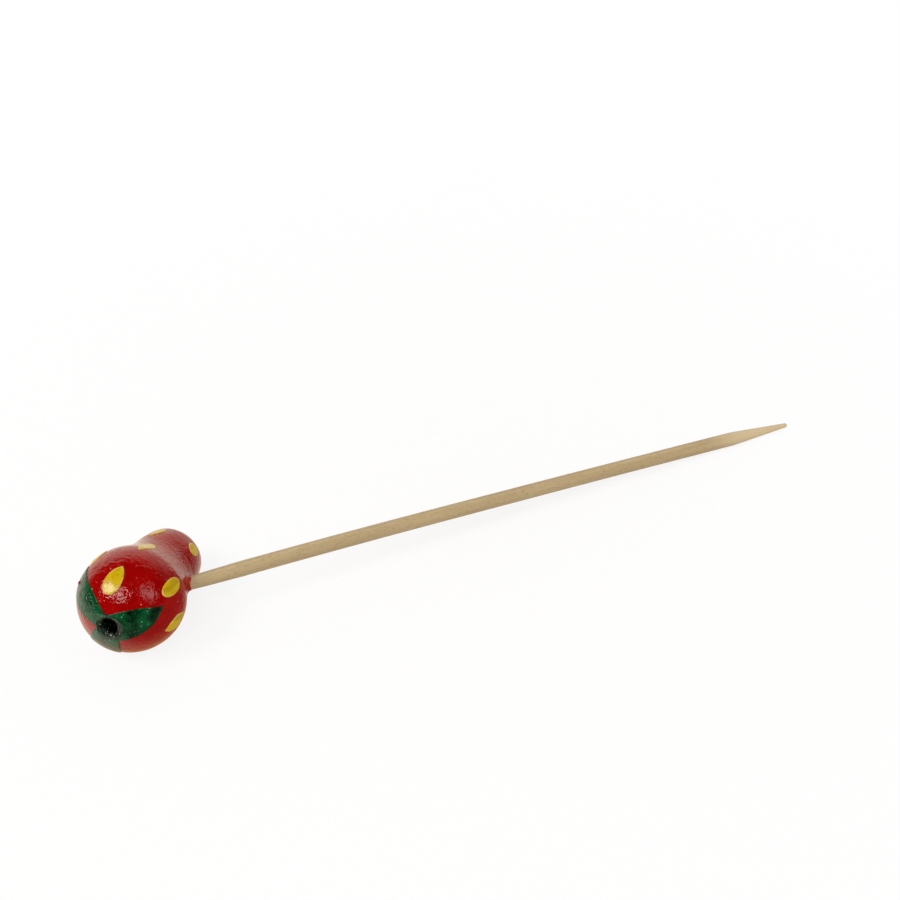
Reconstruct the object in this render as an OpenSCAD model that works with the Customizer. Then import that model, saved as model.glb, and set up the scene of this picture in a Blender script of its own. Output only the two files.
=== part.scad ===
// A wooden cocktail skewer, in millimetres. A thin turned stick with a tapered
// point is glued at a lean into a turned bead painted as a strawberry.
// It lies on a table, Z = 0, as it comes to rest by itself: on the bead's round
// end, the bead's narrow end and the shoulder of the point. The stick points
// along +X, and the origin is in the middle of the space it covers.
// The bead is drawn in a frame of its own first: the origin is the centre of the
// ball at its thick end, +Z points to the leaves and +X to the stick's side.

/* [Stick] */
// Diameter of the straight shank
stick_d = 2.3; // [2:0.1:2.6]
// Length from the bead's own axis to the tip
stick_reach = 112; // [90:1:140]
// Length of the tapered point
point_len = 12; // [9:0.5:15]
// Radius of the rounded tip
tip_r = 0.38; // [0.3:0.02:0.5]
// Radius of the soft shoulder where the point begins
point_blend_r = 25; // [18:1:30]
// Lean of the stick to the bead's narrow end, in degrees off square
stick_lean = 37; // [32:1:42]
// How far below the ball's centre the stick crosses the bead's axis
stick_drop = 1; // [0.5:0.1:1.5]
// How far the stick runs on past the bead's axis inside the bead
stick_tail = 2.5; // [2:0.1:3]
// Distance from the bead's axis at which the glued end begins to thin
shave_start = 9; // [8.6:0.1:10]
// How much thinner the glued end becomes, across its diameter
stick_shave = 0.1; // [0.04:0.02:0.2]

/* [Bead] */
// Diameter of the ball at the thick end
ball_d = 15; // [14:0.1:16]
// Largest diameter of the barrel at the narrow end
barrel_d = 10.6; // [10.2:0.1:11]
// Distance from the ball's centre down to the barrel's largest diameter
barrel_drop = 8; // [7.6:0.1:8.4]
// Radius of the barrel's side, seen in section
barrel_side_r = 15; // [13:0.5:17]
// Distance from the ball's centre down to the flat narrow end
bead_drop = 13.7; // [13.4:0.1:14.2]
// Radius of the rounded edge at the narrow end
edge_r = 2.2; // [1.8:0.1:2.6]
// Radius of the hollow between the ball and the barrel, seen in section
waist_r = 12; // [10:0.5:14]
// Diameter of the threading hole along the bead's axis
hole_d = 2.2; // [1.8:0.1:2.6]
// Radius of the rounding at the two mouths of that hole
mouth_r = 0.5; // [0.3:0.05:0.6]
// Glue gap all round the stick in its drilled socket
glue_gap = 0.05; // [0.03:0.01:0.1]

/* [Paint] */
// Thickness of the leaf paint on the lacquer
leaf_t = 0.12; // [0.08:0.01:0.2]
// Thickness of the seed paint on the lacquer
seed_t = 0.15; // [0.1:0.01:0.25]
// Size of the leaves, 1 as painted
leaf_size = 1; // [0.9:0.01:1.01]
// Length of a seed on the ball
seed_len = 4.1; // [3.4:0.1:4.4]
// Width of a seed on the ball
seed_wide = 2; // [1.6:0.1:2.3]
// Length of a seed on the barrel
small_seed_len = 2.5; // [2:0.1:2.8]
// Width of a seed on the barrel
small_seed_wide = 1.4; // [1.1:0.1:1.6]

/* [Hidden] */
$fn = 72;
// rounded parts of a section overlap by this much where they meet
ease = 0.001;

// shank, ball, barrel and hole radii
shank_r = stick_d / 2;
ball_r = ball_d / 2;
barrel_r = barrel_d / 2;
hole_r = hole_d / 2;

// half angle of the point's cone, from the line that touches both round ends
point_a = point_blend_r - shank_r;
point_b = point_len - tip_r;
point_angle = atan2(point_b, point_a)
    - acos((point_blend_r - tip_r) / norm([point_a, point_b]));
// where the straight shank ends, and the centre of the rounded tip
shank_end = stick_reach - point_len;
tip_at = stick_reach - tip_r;

// centres of the section's arcs: barrel side, narrow end's edge and waist
side_x = barrel_r - barrel_side_r;
edge_z = edge_r - bead_drop;
edge_fall = -barrel_drop - edge_z;
edge_x = side_x + sqrt(pow(barrel_side_r - edge_r, 2) - pow(edge_fall, 2));
edge_angle = asin(edge_fall / (barrel_side_r - edge_r));
to_ball = ball_r + waist_r;
to_side = barrel_side_r + waist_r;
apart = norm([side_x, barrel_drop]);
waist_turn = acos((pow(to_ball, 2) + pow(apart, 2) - pow(to_side, 2)) / (2 * to_ball * apart));
waist_angle = atan2(-barrel_drop, side_x) + waist_turn;
waist_x = to_ball * cos(waist_angle);
waist_z = to_ball * sin(waist_angle);
side_angle = atan2(waist_z + barrel_drop, waist_x - side_x);

// the mouth at the leaf end touches the ball inside and the hole's wall
mouth_x = hole_r + mouth_r;
mouth_z = sqrt(pow(ball_r - mouth_r, 2) - pow(mouth_x, 2));

// the socket is drilled from outside the bead down to the stick's glued end
socket_len = ball_r + stick_d;

// rest on three points: the bead's tilt, the stick's fall and the bead's turn
bead_tilt = atan2(barrel_drop, side_x)
    - acos((ball_r - barrel_side_r) / norm([side_x, barrel_drop]));
fall_c = ball_r - stick_drop * sin(bead_tilt) - point_blend_r;
stick_fall = atan2(shank_end, -point_a) - acos(fall_c / norm([shank_end, point_a]));
turn_c = sin(stick_fall) * sin(bead_tilt) - sin(stick_lean);
bead_turn = -acos(turn_c / (cos(stick_fall) * cos(bead_tilt)));
roll_y = -sin(bead_turn) * cos(stick_fall);
roll_x = sin(bead_tilt) * cos(bead_turn) * cos(stick_fall) + sin(stick_fall) * cos(bead_tilt);
bead_roll = atan2(roll_y, roll_x);

// the ball's centre, set so that the origin is in the middle of the footprint
axis_x = cos(bead_tilt) * cos(bead_turn);
axis_y = cos(bead_tilt) * sin(bead_turn);
tip_x = tip_at * cos(stick_fall) + tip_r - stick_drop * axis_x;
far_y = edge_x * sqrt(1 - pow(axis_y, 2)) - (bead_drop - edge_r) * axis_y + edge_r;
ball_x = (ball_r - tip_x) / 2;
ball_y = (ball_r - far_y) / 2;

// leaves: tip of each, as an angle and a share of the ball's radius, and the
// notch that follows it; then how far its two edges bulge
leaf_tips = [[10, 0.907], [130, 0.981], [245, 0.94]];
leaf_notches = [[84, 0.24], [189, 0.24], [298, 0.36]];
leaf_bulges = [[0.158, 0.077], [0.109, 0.19], [0.152, 0.18]];

// seeds on the ball: angle from the stick's side, angle from the leaf end, turn
first_seed = [80, 52, -14];
broad_seed = [21.3, 84.2, 190];
side_seeds = [[-20.5, 80.7, 196], [119, 91, 172], [168, 93, 186]];
back_seeds = [[206, 76, 176], [240, 88, 172], [284, 94, 186]];
low_seeds = [[72, 115, 169], [136, 117, 183], [186, 114, 176], [313, 115, 190]];
// seeds on the barrel: angle from the stick's side and share of the way down
barrel_seeds = [[24, 0.785], [96, 0.715], [160, 0.775], [215, 0.71], [318, 0.745]];

// right half of the bead's section with no hole, grown outwards by t
module bead_section(t = 0) {
    z_ball = (ball_r + t) * sin(waist_angle);
    z_side = (barrel_side_r + t) * sin(side_angle) - barrel_drop;
    z_edge = -(barrel_side_r + t) * sin(edge_angle) - barrel_drop;
    intersection() {
        circle(ball_r + t);
        translate([0, -2 * ball_r])
            square(4 * ball_r);
    }
    difference() {
        translate([0, z_side])
            square([waist_x, z_ball - z_side]);
        translate([waist_x, waist_z])
            circle(waist_r - t + ease);
    }
    intersection() {
        translate([side_x, -barrel_drop])
            circle(barrel_side_r + t);
        translate([0, z_edge])
            square([ball_r, z_side - z_edge + edge_r / 2]);
    }
    translate([edge_x, edge_z])
        circle(edge_r + t + ease);
    translate([0, -bead_drop - t])
        square([edge_x, z_edge + bead_drop + t + edge_r / 2]);
}

// right half of the threading hole's section with its two rounded mouths
module hole_section() {
    mouth_tip = [mouth_x, mouth_z];
    translate([0, -2 * bead_drop])
        square([hole_r, 4 * bead_drop]);
    difference() {
        polygon([[0, mouth_z], mouth_tip, mouth_tip * 1.3, [0, mouth_z * 1.3]]);
        translate(mouth_tip)
            circle(mouth_r + ease);
    }
    difference() {
        translate([0, -bead_drop - mouth_r])
            square([mouth_x, 2 * mouth_r]);
        translate([mouth_x, mouth_r - bead_drop])
            circle(mouth_r + ease);
    }
}

// a skin of paint, t thick, on the bead's outside between two heights
module paint_skin(t, low, high, inner) {
    rotate_extrude()
        intersection() {
            difference() {
                bead_section(t);
                bead_section();
            }
            translate([inner, low])
                square([2 * ball_r, high - low]);
        }
}

// right half of the stick's section, from its glued end to its tip
module stick_section() {
    blend_z = shank_end + point_blend_r * sin(point_angle);
    blend_x = point_blend_r * cos(point_angle) - point_a - ease;
    cap_z = tip_at + tip_r * sin(point_angle);
    cap_x = tip_r * cos(point_angle) - ease;
    polygon([
        [0, -stick_tail],
        [shank_r - stick_shave / 2, -stick_tail],
        [shank_r, shave_start],
        [shank_r, shank_end],
        [0, shank_end]
    ]);
    intersection() {
        translate([-point_a, shank_end])
            circle(point_blend_r + ease);
        translate([0, shank_end - tip_r])
            square([stick_d, blend_z - shank_end + 2 * tip_r]);
    }
    polygon([[0, blend_z], [blend_x, blend_z], [cap_x, cap_z], [0, cap_z]]);
    intersection() {
        translate([0, tip_at])
            circle(tip_r);
        translate([0, tip_at - tip_r])
            square(2 * tip_r);
    }
}

// lays what is drawn in the bead's own frame down on the table
module at_rest() {
    translate([ball_x, ball_y, ball_r])
        rotate([0, 90 - bead_tilt, bead_turn])
            rotate([0, 0, bead_roll])
                children();
}

// turns what is drawn along Z into the line of the stick
module along_stick() {
    translate([0, 0, -stick_drop])
        rotate([0, 90 + stick_lean, 0])
            children();
}

// a point seen along the bead's axis, from an angle and a share of the radius
function spot(place) =
    ball_r * leaf_size * place[1] * [cos(place[0]), sin(place[0])];

// a disc whose edge runs through two points and bulges to the right between them
module bulge_disc(from, to, bulge) {
    way = to - from;
    half = norm(way) / 2;
    disc_r = (pow(half, 2) + pow(bulge, 2)) / (2 * bulge);
    right = [way[1], -way[0]] / norm(way);
    translate((from + to) / 2 + right * (bulge - disc_r))
        circle(disc_r);
}

// one leaf, seen along the bead's axis, between its two notches and its tip
module leaf_shape(i) {
    before = leaf_notches[(i + 2) % 3];
    after = leaf_notches[i];
    far = 4 / leaf_size;
    intersection() {
        bulge_disc(spot(before), spot(leaf_tips[i]), leaf_bulges[i][0] * ball_r);
        bulge_disc(spot(leaf_tips[i]), spot(after), leaf_bulges[i][1] * ball_r);
        polygon([[0, 0], spot([before[0] - 1, far]), spot([leaf_tips[i][0], far]),
            spot([after[0] + 1, far])]);
    }
}

// half a drop of paint between two arcs that meet in a point at +X
module half_drop(reach, half) {
    arc_r = (pow(reach, 2) + pow(half, 2)) / (2 * half);
    intersection() {
        translate([0, half - arc_r])
            circle(arc_r);
        translate([0, arc_r - half])
            circle(arc_r);
        translate([0, -2 * half])
            square([reach + half, 4 * half]);
    }
}

// a block with a drop's outline: a point towards +X, and a round or pointed back
module drop(len, wide, pointed_back = false) {
    back = pointed_back ? len / 2 : wide * 0.55;
    translate([back - len / 2, 0, -wide * 0.4])
        linear_extrude(wide) {
            half_drop(len - back, wide / 2);
            mirror([1, 0])
                half_drop(back, wide / 2);
        }
}

// a drop on the ball, at two angles and turned on the spot
module ball_seed(place, len = seed_len, wide = seed_wide, pointed_back = false) {
    rotate([0, place[1], place[0]])
        translate([0, 0, ball_r])
            rotate([0, 0, place[2]])
                drop(len, wide, pointed_back);
}

// a drop on the barrel, at an angle and a share of the way down
module barrel_seed(place) {
    deep = place[1] * bead_drop;
    slope = asin((deep - barrel_drop) / barrel_side_r);
    rotate([0, 0, place[0]])
        translate([side_x + barrel_side_r * cos(slope), 0, -deep])
            rotate([0, 90 + slope, 0])
                rotate([0, 0, 180])
                    drop(small_seed_len, small_seed_wide);
}

module stick() {
    color([0.78, 0.66, 0.45])
        at_rest()
            along_stick()
                rotate_extrude()
                    stick_section();
}

module bead() {
    color([0.6, 0.02, 0.02])
        at_rest()
            difference() {
                rotate_extrude()
                    difference() {
                        bead_section();
                        hole_section();
                    }
                along_stick()
                    translate([0, 0, -stick_tail])
                        cylinder(h = stick_tail + socket_len, r = shank_r + glue_gap);
            }
}

module leaves() {
    color([0, 0.3, 0.15])
        at_rest()
            intersection() {
                paint_skin(leaf_t, ball_r * 0.05, ball_r * 2, mouth_x * ball_r / (ball_r - mouth_r));
                linear_extrude(ball_r * 2)
                    for (i = [0 : 2])
                        leaf_shape(i);
            }
}

module seeds() {
    color([0.8, 0.65, 0])
        at_rest()
            intersection() {
                paint_skin(seed_t, -bead_drop * 0.93, ball_r * 0.9, hole_r);
                union() {
                    ball_seed(first_seed, seed_len * 1.07, seed_wide * 1.25);
                    ball_seed(broad_seed, seed_len * 0.98, seed_wide * 1.25);
                    for (s = side_seeds)
                        ball_seed(s, seed_len, seed_wide * 1.1);
                    for (s = back_seeds)
                        ball_seed(s);
                    for (s = low_seeds)
                        ball_seed(s, seed_len, seed_wide * 0.9, true);
                    for (s = barrel_seeds)
                        barrel_seed(s);
                }
            }
}

stick();
bead();
leaves();
seeds();
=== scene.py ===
# %% [markdown]
# # A wooden cocktail skewer with a strawberry bead
#
# The real thing is two turned pieces of pale wood. A thin stick with a tapered
# point is glued at a lean into the side of a bead, and the bead is painted as a
# strawberry: red lacquer, three green leaves round its threading hole, and
# yellow seeds.
#
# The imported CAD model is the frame. It says where everything is, in metres, and
# each piece made here takes the place of one of its nodes.

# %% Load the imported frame
import math

import bmesh
import bpy
from mathutils import Matrix, Vector, noise
from mathutils.bvhtree import BVHTree


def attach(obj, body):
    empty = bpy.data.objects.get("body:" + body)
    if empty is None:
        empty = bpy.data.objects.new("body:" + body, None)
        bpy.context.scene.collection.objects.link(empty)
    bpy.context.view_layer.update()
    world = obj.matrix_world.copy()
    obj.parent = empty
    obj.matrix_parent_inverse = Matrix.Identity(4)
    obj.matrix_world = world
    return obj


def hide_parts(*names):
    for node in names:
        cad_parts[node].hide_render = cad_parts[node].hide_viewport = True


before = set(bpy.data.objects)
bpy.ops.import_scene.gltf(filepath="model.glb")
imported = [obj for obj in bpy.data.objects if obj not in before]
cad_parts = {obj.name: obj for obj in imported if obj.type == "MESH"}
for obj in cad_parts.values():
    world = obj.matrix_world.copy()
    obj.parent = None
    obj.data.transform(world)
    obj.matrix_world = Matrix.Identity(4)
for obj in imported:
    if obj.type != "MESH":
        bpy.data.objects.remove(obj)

scene = bpy.context.scene
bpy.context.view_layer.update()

# %% [markdown]
# ## The bead's own frame and the stick's own frame
#
# A turned piece is easiest to draw upright, on the lathe, in millimetres. So
# the bead has a frame of its own, with its middle at the ball's centre and Z
# towards the leaf end, and the stick has one with Z along it. Two matrices lay
# finished meshes down on the table, where the CAD nodes lie.

# %% Lay-down matrices
MM = 0.001
BALL_CENTRE = Vector((-52.4414, -2.6203, 7.5))
BEAD_TILT, BEAD_TURN, BEAD_ROLL = 13.8667, -127.3024, 96.1874
STICK_LEAN, STICK_DROP, STICK_REACH = 37.0, 1.0, 112.0


def turned(degrees, axis):
    return Matrix.Rotation(math.radians(degrees), 4, axis)


bead_frame = (
    Matrix.Scale(MM, 4)
    @ Matrix.Translation(BALL_CENTRE)
    @ turned(BEAD_TURN, "Z")
    @ turned(90 - BEAD_TILT, "Y")
    @ turned(BEAD_ROLL, "Z")
)
stick_in_bead = Matrix.Translation((0, 0, -STICK_DROP)) @ turned(90 + STICK_LEAN, "Y")
stick_frame = bead_frame @ stick_in_bead
tip = stick_frame @ Vector((0, 0, STICK_REACH))
print("tip in mm:", [round(v * 1000, 2) for v in tip])

# %% [markdown]
# The real stick is not quite straight, as thin dowels never are. The photograph
# shows it sag and swing near the bead, and swing again near the tip, by a few
# tenths of a millimetre. So a small vector is added to each point along it. The
# socket and the glue follow the stick.

# %% The stick's bend
to_stick = stick_frame.to_3x3().inverted()
WORLD_DOWN = to_stick @ Vector((0, 0, -MM))
WORLD_FRONT = to_stick @ Vector((0, -MM, 0))
SEAT = 7.0
# each bend: where it starts and where it is whole along the stick, and its size in millimetres
SAG, SWING, TIP_SWING = (45, SEAT, 0.3), (50, SEAT, 0.25), (60, STICK_REACH, 0.3)


def bowed(along, start, whole, size):
    """One bend, which grows with the square of the way from its start."""
    return size * max((along - start) / (whole - start), 0) ** 2


def bend(along):
    """How far the stick is off its straight line here, in its own frame."""
    along = max(along, SEAT)
    return (WORLD_DOWN * bowed(along, *SAG)
            + WORLD_FRONT * (bowed(along, *SWING) + bowed(along, *TIP_SWING)))


seat_in_bead = stick_in_bead @ Matrix.Translation(bend(SEAT))
print("at the bead the stick is", round(bend(SEAT).length, 2), "mm off its line")

# %% [markdown]
# ## The camera
#
# The photograph looks down at the skewer from about 38 degrees, with the bead
# near and on the left. The camera was found by laying the CAD model's outline
# over the photograph, and its three directions are written down as they came.

# %% Camera
CAMERA_PLACE = Vector((-0.052826, -0.122760, 0.117733))
CAMERA_RIGHT = Vector((0.915120, -0.401863, -0.032585))
CAMERA_UP = Vector((0.270139, 0.551145, 0.789471))
CAMERA_LENS = 44.56

camera_data = bpy.data.cameras.new("camera")
camera_data.lens = CAMERA_LENS
camera_data.sensor_width = 36
camera_data.clip_start = 0.01
camera_data.clip_end = 20
camera = bpy.data.objects.new("camera", camera_data)
scene.collection.objects.link(camera)
camera_back = CAMERA_RIGHT.cross(CAMERA_UP)
camera_turn = Matrix((CAMERA_RIGHT, CAMERA_UP, camera_back)).transposed()
camera.matrix_world = Matrix.Translation(CAMERA_PLACE) @ camera_turn.to_4x4()
scene.camera = camera
print("camera looks down by", round(math.degrees(math.asin(camera_back.z)), 1))

# %% [markdown]
# ## Small helpers for nodes
#
# Every finish below is a tree of nodes. These helpers add a node with its
# settings, join sockets, and do one step of colour or arithmetic each, so that a
# material reads as a short list.

# %% Node helpers


def add_node(tree, kind, settings=None, **inputs):
    """A node of a kind, its own settings, and values for its input sockets."""
    node = tree.nodes.new(kind)
    for name, value in (settings or {}).items():
        setattr(node, name, value)
    for name, value in inputs.items():
        node.inputs[name.replace("_", " ")].default_value = value
    return node


def join(tree, start, end):
    """Joins two sockets, or writes plain numbers in the second."""
    if isinstance(start, bpy.types.NodeSocket):
        tree.links.new(start, end)
    else:
        end.default_value = start


def blank_tree(owner):
    """The node tree of a material or a world, with nothing in it."""
    owner.use_nodes = True
    owner.node_tree.nodes.clear()
    return owner.node_tree


def new_material(name):
    """An empty material with its output and one Principled shader."""
    material = bpy.data.materials.new(name)
    tree = blank_tree(material)
    output = add_node(tree, "ShaderNodeOutputMaterial")
    shader = add_node(tree, "ShaderNodeBsdfPrincipled")
    join(tree, shader.outputs["BSDF"], output.inputs["Surface"])
    return material, tree, shader


def texture(tree, kind, place, settings=None, **inputs):
    """A texture node of a kind, laid out by a place."""
    node = add_node(tree, "ShaderNodeTex" + kind, settings, **inputs)
    join(tree, place, node.inputs["Vector"])
    return node


def moved(tree, place, **changes):
    """A place with its own Location, Rotation or Scale."""
    node = add_node(tree, "ShaderNodeMapping", **changes)
    join(tree, place, node.inputs["Vector"])
    return node.outputs["Vector"]


def colour_ramp(tree, factor, stops):
    """A ramp from (place, colour) pairs, fed by a factor socket."""
    ramp = add_node(tree, "ShaderNodeValToRGB")
    elements = ramp.color_ramp.elements
    elements[0].position, elements[0].color = stops[0][0], (*stops[0][1], 1)
    elements[1].position, elements[1].color = stops[-1][0], (*stops[-1][1], 1)
    for place, colour in stops[1:-1]:
        elements.new(place).color = (*colour, 1)
    join(tree, factor, ramp.inputs["Fac"])
    return ramp.outputs["Color"]


def mix_colours(tree, factor, first, second):
    """Mixes two colours, each a socket or plain numbers, by a factor."""
    mix = add_node(tree, "ShaderNodeMix", {"data_type": "RGBA"})
    join(tree, factor, mix.inputs[0])
    for colour, socket in ((first, mix.inputs[6]), (second, mix.inputs[7])):
        join(tree, (*colour, 1) if isinstance(colour, tuple) else colour, socket)
    return mix.outputs[2]


def sums(tree, operation, first, second):
    """One step of arithmetic between sockets or numbers."""
    node = add_node(tree, "ShaderNodeMath", {"operation": operation})
    join(tree, first, node.inputs[0])
    join(tree, second, node.inputs[1])
    return node.outputs[0]


def times(tree, first, *others):
    """The product of sockets or numbers."""
    for other in others:
        first = sums(tree, "MULTIPLY", first, other)
    return first


def axes_of(tree, vector):
    node = add_node(tree, "ShaderNodeSeparateXYZ")
    join(tree, vector, node.inputs["Vector"])
    return node.outputs


def length(tree, vector):
    node = add_node(tree, "ShaderNodeVectorMath", {"operation": "LENGTH"})
    join(tree, vector, node.inputs[0])
    return node.outputs["Value"]


def spread(tree, value, low, high, to_low=0.0, to_high=1.0):
    """Takes the part of a value between two limits and spreads it smoothly."""
    node = add_node(tree, "ShaderNodeMapRange", {"interpolation_type": "SMOOTHSTEP"},
                    From_Min=low, From_Max=high, To_Min=to_low, To_Max=to_high)
    join(tree, value, node.inputs["Value"])
    return node.outputs["Result"]


def millimetres(tree, frame_of_piece):
    """Object coordinates, turned into a piece's own frame in millimetres."""
    place = add_node(tree, "ShaderNodeTexCoord").outputs["Object"]
    back = frame_of_piece.inverted()
    return moved(tree, place, Location=back.to_translation(), Rotation=back.to_euler(),
                 Scale=(1 / MM,) * 3)


print("one unit of place in the materials is", MM, "m")

# %% [markdown]
# ## A shared effect: brushed, slightly dusty lacquer
#
# The paints on the bead, and the glue round the stick, are the same kind of
# thick gloss coat. Close up none of them is flat: there is a fine orange peel,
# longer ripples from the dipping, and small specks of dust under the skin. The
# red and the green also colour these specks pale, partly as dust and partly as
# painted glints, and the black colours them as painted glints. All of these
# materials use one node group for this, each with its own values.

# %% Lacquer node group
SPECK_CRUMPLE, SPECK_HEIGHT = 0.22, 0.5


def lacquer_group():
    group = bpy.data.node_groups.new("lacquer surface", "ShaderNodeTree")
    face = group.interface
    face.new_socket("Vector", in_out="INPUT", socket_type="NodeSocketVector")
    for name, value in (("Peel Scale", 4.0), ("Peel Depth", 1.0), ("Ripple Depth", 1.0),
                        ("Speck Scale", 2.0), ("Speck Size", 0.1), ("Speck Share", 0.3)):
        socket = face.new_socket(name, in_out="INPUT", socket_type="NodeSocketFloat")
        socket.default_value = value
    for name in ("Tone", "Specks", "Height"):
        face.new_socket(name, in_out="OUTPUT", socket_type="NodeSocketFloat")
    given = add_node(group, "NodeGroupInput").outputs
    result = add_node(group, "NodeGroupOutput").inputs
    place = given["Vector"]

    peel = texture(group, "Noise", place, Detail=2.5, Roughness=0.55)
    join(group, given["Peel Scale"], peel.inputs["Scale"])
    ripple = texture(group, "Noise", place, Scale=1.1, Detail=2.0, Distortion=0.8)
    tone = texture(group, "Noise", place, Scale=0.45, Detail=4.0, Roughness=0.65).outputs["Fac"]
    join(group, tone, result["Tone"])

    # specks: cells with crumpled walls, of which a share is kept, each of its own size
    crumple = texture(group, "Noise", place, Scale=6.0, Detail=2.0)
    pushed = add_node(group, "ShaderNodeVectorMath", {"operation": "MULTIPLY_ADD"})
    for value, socket in zip((crumple.outputs["Color"], (SPECK_CRUMPLE,) * 3, place),
                             pushed.inputs):
        join(group, value, socket)
    cells = texture(group, "Voronoi", pushed.outputs["Vector"])
    join(group, given["Speck Scale"], cells.inputs["Scale"])
    chance = add_node(group, "ShaderNodeSeparateColor")
    join(group, cells.outputs["Color"], chance.inputs["Color"])
    kept = sums(group, "LESS_THAN", chance.outputs["Red"], given["Speck Share"])
    size = times(group, chance.outputs["Green"], given["Speck Size"])
    near = spread(group, sums(group, "SUBTRACT", size, cells.outputs["Distance"]), 0.0, 0.05)
    specks = times(group, near, kept, spread(group, tone, 0.4, 0.58, 0.15, 1.0))
    join(group, specks, result["Specks"])

    height = sums(group, "ADD", times(group, peel.outputs["Fac"], given["Peel Depth"]),
                  times(group, ripple.outputs["Fac"], given["Ripple Depth"]))
    height = sums(group, "ADD", height, times(group, specks, SPECK_HEIGHT))
    join(group, height, result["Height"])
    return group


LACQUER = lacquer_group()
print("lacquer group has", len(LACQUER.nodes), "nodes")


def coat(name, ior=1.5, **values):
    """A material for the bead, with the shared group in it and this coat's own values."""
    material, tree, shader = new_material(name)
    shader.inputs["IOR"].default_value = ior
    place = millimetres(tree, bead_frame)
    node = add_node(tree, "ShaderNodeGroup", {"node_tree": LACQUER}, **values)
    join(tree, place, node.inputs["Vector"])
    return material, tree, shader, place, node.outputs


def raise_surface(tree, shader, height, depth_mm):
    """Feeds a height, in shares of a depth in millimetres, to the normal."""
    bump = add_node(tree, "ShaderNodeBump", Strength=1.0, Distance=depth_mm * MM)
    join(tree, height, bump.inputs["Height"])
    join(tree, bump.outputs["Normal"], shader.inputs["Normal"])


def finish_coat(tree, shader, surface, colour, rough, depth_mm):
    """Joins a coat's colour, a roughness that follows its tone, and its raised surface."""
    join(tree, colour, shader.inputs["Base Color"])
    join(tree, spread(tree, surface["Tone"], *rough), shader.inputs["Roughness"])
    raise_surface(tree, shader, surface["Height"], depth_mm)


# %% [markdown]
# ## Red lacquer
#
# The bead was dipped in a deep, clean red. It looks almost black-red where it
# mirrors nothing, and pink wherever it mirrors the white surroundings at a
# flat angle. That pink comes from the gloss, so the colour itself stays deep.

# %% Red lacquer
RED_DEEP = (0.26, 0.0004, 0.0004)
RED_BRIGHT = (0.35, 0.0010, 0.0008)
# pale specks on the red: partly dust, partly painted glints
SPECK_DUST_AND_GLINT = (0.60, 0.33, 0.22)


def red_lacquer():
    material, tree, shader, _, surface = coat(
        "red lacquer", 1.52, Peel_Scale=2.5, Peel_Depth=1.6, Ripple_Depth=2.9,
        Speck_Scale=1.9, Speck_Size=0.22, Speck_Share=0.4)
    red = colour_ramp(tree, surface["Tone"], [(0.3, RED_DEEP), (0.7, RED_BRIGHT)])
    # pale specks over the red, partly dust and partly painted glints
    red = mix_colours(tree, times(tree, surface["Specks"], 0.7), red, SPECK_DUST_AND_GLINT)
    finish_coat(tree, shader, surface, red, (0.35, 0.7, 0.04, 0.09), 0.035)
    return material


RED = red_lacquer()
print("made", RED.name)

# %% [markdown]
# ## Black in the threading hole, partly paint and partly painted shade
#
# The hole was touched in with black while the green was still soft. So there is
# no hard line between them: a dark green-grey rim rolls into ragged black, which
# sits a little to one side. This grading is partly the paints and partly painted
# shade going down into the hole. The distance from the black's own middle, pushed
# about by noise, gives it. Pale specks in it are painted glints.

# %% Hole black, partly paint and partly painted shade
# millimetres off the bead's axis: where the hole comes out, and where the black is
HOLE_MIDDLE = (0.40, -0.05)
BLACK_MIDDLE = (0.62, -0.38)
BLACK_DEEP, BLACK_WORN = (0.0006, 0.0008, 0.0006), (0.002, 0.004, 0.0025)
# grey-green rim between the green and the black: partly paint, partly painted shade into the
# hole
HOLE_RIM_GREY = (0.006, 0.018, 0.009)
# pale specks painted in the hole as glints
PAINTED_GLINT = (0.65, 0.70, 0.62)


def hole_distance(tree, place, ragged):
    """Distance from the black's middle in millimetres, made ragged by noise."""
    flat = moved(tree, place, Location=(-BLACK_MIDDLE[0], -BLACK_MIDDLE[1], 0), Scale=(1, 1, 0))
    rough_edge = texture(tree, "Noise", place, Scale=1.4, Detail=3.0)
    push = times(tree, sums(tree, "SUBTRACT", rough_edge.outputs["Fac"], 0.5), ragged)
    return sums(tree, "ADD", length(tree, flat), push)


def hole_black_coat():
    material, tree, shader, place, surface = coat(
        "hole black", Peel_Scale=2.0, Peel_Depth=2.0, Ripple_Depth=2.0,
        Speck_Scale=2.4, Speck_Size=0.3, Speck_Share=0.6)
    black = colour_ramp(tree, surface["Tone"], [(0.3, BLACK_DEEP), (0.7, BLACK_WORN)])
    # black in the middle and grey-green outwards: partly paint, partly painted shade in the hole
    rim_grade = spread(tree, hole_distance(tree, place, 2.4), 1.05, 1.35)
    black = mix_colours(tree, rim_grade, black, HOLE_RIM_GREY)
    # pale specks painted over the black as glints
    black = mix_colours(tree, surface["Specks"], black, PAINTED_GLINT)
    finish_coat(tree, shader, surface, black, (0.3, 0.7, 0.12, 0.25), 0.10)
    return material


BLACK = hole_black_coat()
print("made", BLACK.name)

# %% [markdown]
# ## Green and yellow paint
#
# The leaves and seeds were put on by hand over the dry red. The green is very
# dark, with a coarser skin that catches dust; its pale specks are partly dust
# and partly painted glints. The yellow is thick, with streaks of ochre where the
# brush lifted, and a pale cream is painted along its rim as a highlight.

# %% Green and yellow paint
GREEN_DARK = (0.0004, 0.008, 0.002)
GREEN_MID = (0.0010, 0.072, 0.021)
# pale specks on the green: partly dust, partly painted glints
GREEN_DUST_AND_GLINT = (0.3, 0.42, 0.22)
YELLOW = (0.60, 0.40, 0.003)
OCHRE = (0.47, 0.30, 0.002)
# cream painted along the seeds' rim as a highlight
RIM_HIGHLIGHT = (0.72, 0.56, 0.20)


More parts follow.
